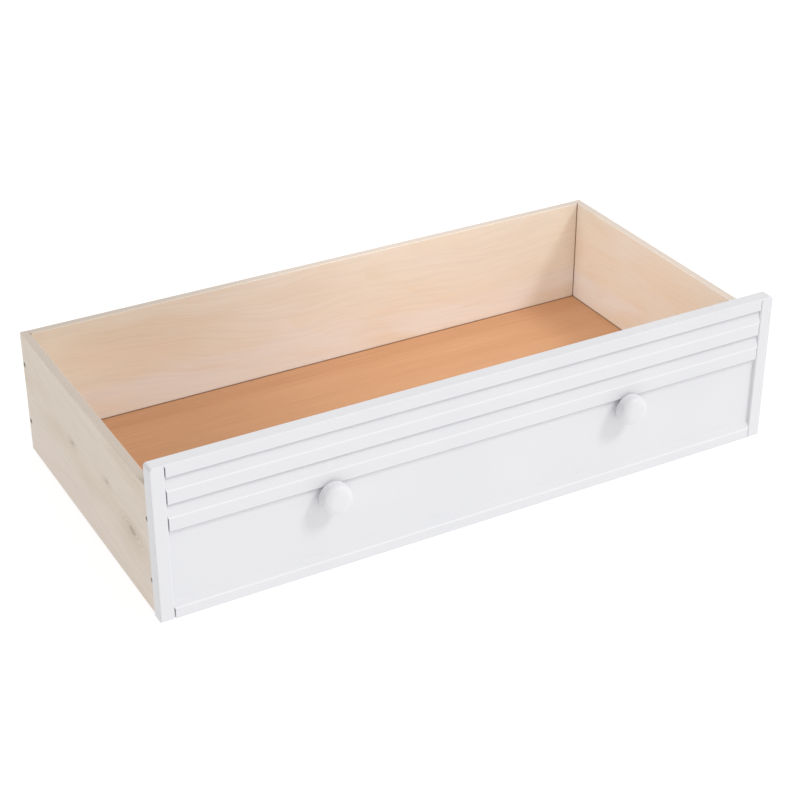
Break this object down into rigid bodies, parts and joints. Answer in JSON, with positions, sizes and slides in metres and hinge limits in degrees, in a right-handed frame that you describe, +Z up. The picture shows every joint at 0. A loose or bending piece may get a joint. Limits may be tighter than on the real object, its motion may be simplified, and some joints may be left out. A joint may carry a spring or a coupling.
{
  "type": "trundle drawer",
  "caption": "Wide shallow rolling underbed drawer: white panelled front with lapped slats and round knobs, pale plywood box, tan floor, hidden rigid casters.",
  "frame": {"origin": "on the floor under the middle of the whole object, knobs included", "axes": "+X across the front to the right of a person facing it, +Y from the front to the back, +Z up"},
  "size_m": [0.96, 0.513, 0.238],
  "materials": {
    "white_paint": "satin white paint on wood",
    "pale_plywood": "clear matte on pale plywood",
    "floor_board": "fine-grained tan wood, matte",
    "runner_wood": "planed softwood",
    "dowel_wood": "fluted hardwood peg, unfinished",
    "zinc_screw": "bright zinc plating",
    "brass_insert": "plain brass",
    "caster_steel": "pressed zinc-plated steel",
    "wheel_plastic": "moulded grey plastic"
  },
  "bodies": {
    "drawer": {"left_stile": "white_paint", "right_stile": "white_paint", "top_rail": "white_paint", "upper_slat": "white_paint", "lower_slat": "white_paint", "front_panel": "white_paint", "bottom_rail": "white_paint", "left_knob": "white_paint", "right_knob": "white_paint", "left_side": "pale_plywood", "right_side": "pale_plywood", "back_panel": "pale_plywood", "inner_front": "pale_plywood", "floor_panel": "floor_board", "left_runner": "runner_wood", "centre_runner": "runner_wood", "right_runner": "runner_wood", "rail_dowels": "dowel_wood", "side_screws": "zinc_screw", "front_screws": "zinc_screw", "runner_screws": "zinc_screw", "knob_washers": "zinc_screw", "knob_bolts": "zinc_screw", "knob_inserts": "brass_insert", "caster_plate_front_left": "caster_steel", "caster_axle_front_left": "caster_steel", "caster_screws_front_left": "zinc_screw", "caster_plate_front_right": "caster_steel", "caster_axle_front_right": "caster_steel", "caster_screws_front_right": "zinc_screw", "caster_plate_back_left": "caster_steel", "caster_axle_back_left": "caster_steel", "caster_screws_back_left": "zinc_screw", "caster_plate_back_right": "caster_steel", "caster_axle_back_right": "caster_steel", "caster_screws_back_right": "zinc_screw"},
    "front_left_wheel": {"caster_wheel_front_left": "wheel_plastic"},
    "front_right_wheel": {"caster_wheel_front_right": "wheel_plastic"},
    "back_left_wheel": {"caster_wheel_back_left": "wheel_plastic"},
    "back_right_wheel": {"caster_wheel_back_right": "wheel_plastic"}
  },
  "joints": [
    {"name": "front_left_wheel_spin", "type": "hinge", "parent": "drawer", "child": "front_left_wheel", "pos_m": [-0.406, -0.1405, 0.012], "axis": [1, 0, 0], "continuous": true},
    {"name": "front_right_wheel_spin", "type": "hinge", "parent": "drawer", "child": "front_right_wheel", "pos_m": [0.406, -0.1405, 0.012], "axis": [1, 0, 0], "continuous": true},
    {"name": "back_left_wheel_spin", "type": "hinge", "parent": "drawer", "child": "back_left_wheel", "pos_m": [-0.406, 0.1845, 0.012], "axis": [1, 0, 0], "continuous": true},
    {"name": "back_right_wheel_spin", "type": "hinge", "parent": "drawer", "child": "back_right_wheel", "pos_m": [0.406, 0.1845, 0.012], "axis": [1, 0, 0], "continuous": true}
  ]
}
